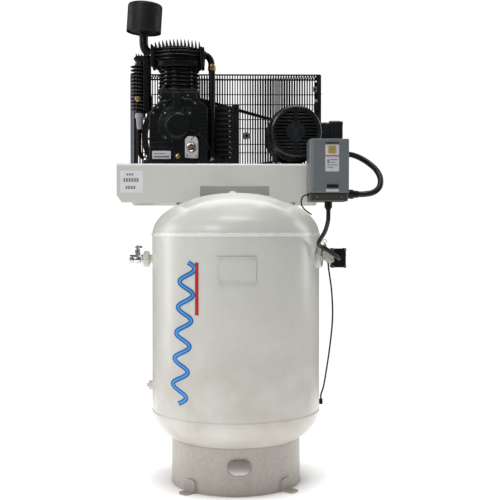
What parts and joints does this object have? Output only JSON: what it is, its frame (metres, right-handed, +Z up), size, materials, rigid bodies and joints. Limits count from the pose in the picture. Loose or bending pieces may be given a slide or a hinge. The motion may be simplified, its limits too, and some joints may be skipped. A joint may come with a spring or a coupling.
{
  "type": "air compressor",
  "caption": "Upright shop air compressor: a vertical tank on a skirt, with a deck on its dome that carries a belt-driven piston pump, an electric motor, a belt guard and a starter.",
  "frame": {"origin": "floor level under the centre of the object's box, measured without the free conduits and leads", "axes": "+Z up, -Y towards the control side, +X to the right as seen from that side"},
  "size_m": [0.9171, 0.623, 1.7207],
  "materials": {
    "tank_paint": "satin off-white enamel",
    "black_iron": "satin black enamel on a sand casting",
    "black_steel": "satin black enamel on sheet and tube",
    "charcoal_paint": "satin charcoal powder coat",
    "bare_steel": "machined steel",
    "nickel_plate": "plated, slightly worn",
    "aluminium_alloy": "cast and machined",
    "grey_casting": "grey die casting",
    "brass_fitting": "turned brass, slightly dull",
    "dark_copper": "oxidised copper tube",
    "starter_grey": "semi-gloss grey enamel",
    "starter_olive": "dark olive-grey enamel",
    "black_plastic": "moulded",
    "black_rubber": "matt extruded cover",
    "filter_paper": "pleated filter paper",
    "amber_glass": "oil behind a sight glass"
  },
  "bodies": {
    "machine": {"tank_shell": "tank_paint", "base_ring": "tank_paint", "data_plate": "tank_paint", "deck": "tank_paint", "deck_saddle": "tank_paint", "outlet_bung": "tank_paint", "outlet_valve_body": "nickel_plate", "side_plug": "tank_paint", "switch_manifold": "grey_casting", "pressure_switch": "black_plastic", "safety_valve_body": "brass_fitting", "drain_fitting": "black_plastic", "crankcase": "black_iron", "bearing_cover": "black_iron", "crank_bearing": "bare_steel", "first_stage_cylinder": "black_iron", "first_stage_head": "black_iron", "second_stage_cylinder": "black_iron", "second_stage_head": "black_iron", "intercooler": "black_iron", "intercooler_pipe": "dark_copper", "relief_fitting": "brass_fitting", "discharge_tube": "black_steel", "aftercooler": "black_steel", "oil_sight_plate": "grey_casting", "sight_glass": "amber_glass", "oil_drain_plug": "brass_fitting", "filter_elbow": "black_steel", "filter_element": "filter_paper", "filter_housing": "charcoal_paint", "motor_frame": "black_iron", "fan_cover": "black_steel", "conduit_box": "black_steel", "v_belt_1": "black_rubber", "v_belt_2": "black_rubber", "guard_mesh": "black_steel", "guard_left_panel": "black_steel", "guard_right_panel": "black_steel", "starter_base": "starter_olive", "starter_cover": "starter_grey", "contactor": "black_plastic", "side_gland": "black_plastic", "bottom_gland": "black_plastic", "motor_gland": "black_plastic", "conduit_motor": "black_rubber", "conduit_switch": "black_rubber", "drain_tube": "black_rubber", "pilot_lead": "black_rubber"},
    "crank": {"crankshaft": "bare_steel", "flywheel": "black_iron"},
    "motor_shaft": {"motor_rotor": "bare_steel", "cooling_fan": "black_plastic", "motor_pulley": "black_iron"},
    "first_stage_piston": {"first_stage_piston": "aluminium_alloy"},
    "first_stage_rod": {"first_stage_rod": "aluminium_alloy"},
    "second_stage_piston": {"second_stage_piston": "aluminium_alloy"},
    "second_stage_rod": {"second_stage_rod": "aluminium_alloy"},
    "outlet_handle": {"outlet_valve_handle": "nickel_plate"},
    "relief_ring": {"safety_valve_ring": "bare_steel"},
    "reset_button": {"reset_button": "black_plastic"}
  },
  "joints": [
    {"name": "crank_spin", "type": "hinge", "parent": "machine", "child": "crank", "pos_m": [-0.205, 0.0065, 1.28], "axis": [0, 1, 0], "continuous": true},
    {"name": "motor_spin", "type": "hinge", "parent": "machine", "child": "motor_shaft", "pos_m": [0.207, 0.0065, 1.26], "axis": [0, 1, 0], "continuous": true},
    {"name": "first_stage_piston_slide", "type": "slide", "parent": "machine", "child": "first_stage_piston", "axis": [0, 0, 1], "range_m": [-0.03, 0.03]},
    {"name": "second_stage_piston_slide", "type": "slide", "parent": "machine", "child": "second_stage_piston", "axis": [0, 0, 1], "range_m": [-0.03, 0.03]},
    {"name": "first_stage_rod_swing", "type": "hinge", "parent": "first_stage_piston", "child": "first_stage_rod", "pos_m": [-0.205, -0.0685, 1.44], "axis": [0, 1, 0], "range_deg": [-10, 10]},
    {"name": "second_stage_rod_swing", "type": "hinge", "parent": "second_stage_piston", "child": "second_stage_rod", "pos_m": [-0.205, 0.0485, 1.44], "axis": [0, 1, 0], "range_deg": [-8, 8]},
    {"name": "outlet_valve_turn", "type": "hinge", "parent": "machine", "child": "outlet_handle", "pos_m": [-0.362, 0.0065, 0.85], "axis": [0, 0, 1], "range_deg": [0, 90]},
    {"name": "relief_ring_pull", "type": "slide", "parent": "machine", "child": "relief_ring", "axis": [0, 0, 1], "range_m": [0, 0.004], "stiffness_N_per_m": 800, "springref_m": -0.002},
    {"name": "reset_press", "type": "slide", "parent": "machine", "child": "reset_button", "axis": [0, 1, 0], "range_m": [0, 0.003], "stiffness_N_per_m": 600, "springref_m": -0.001}
  ],
  "couplings": [
    {"joint": "motor_spin", "follows": "crank_spin", "ratio": 2.41},
    {"joint": "second_stage_piston_slide", "follows": "first_stage_piston_slide", "ratio": -1}
  ]
}
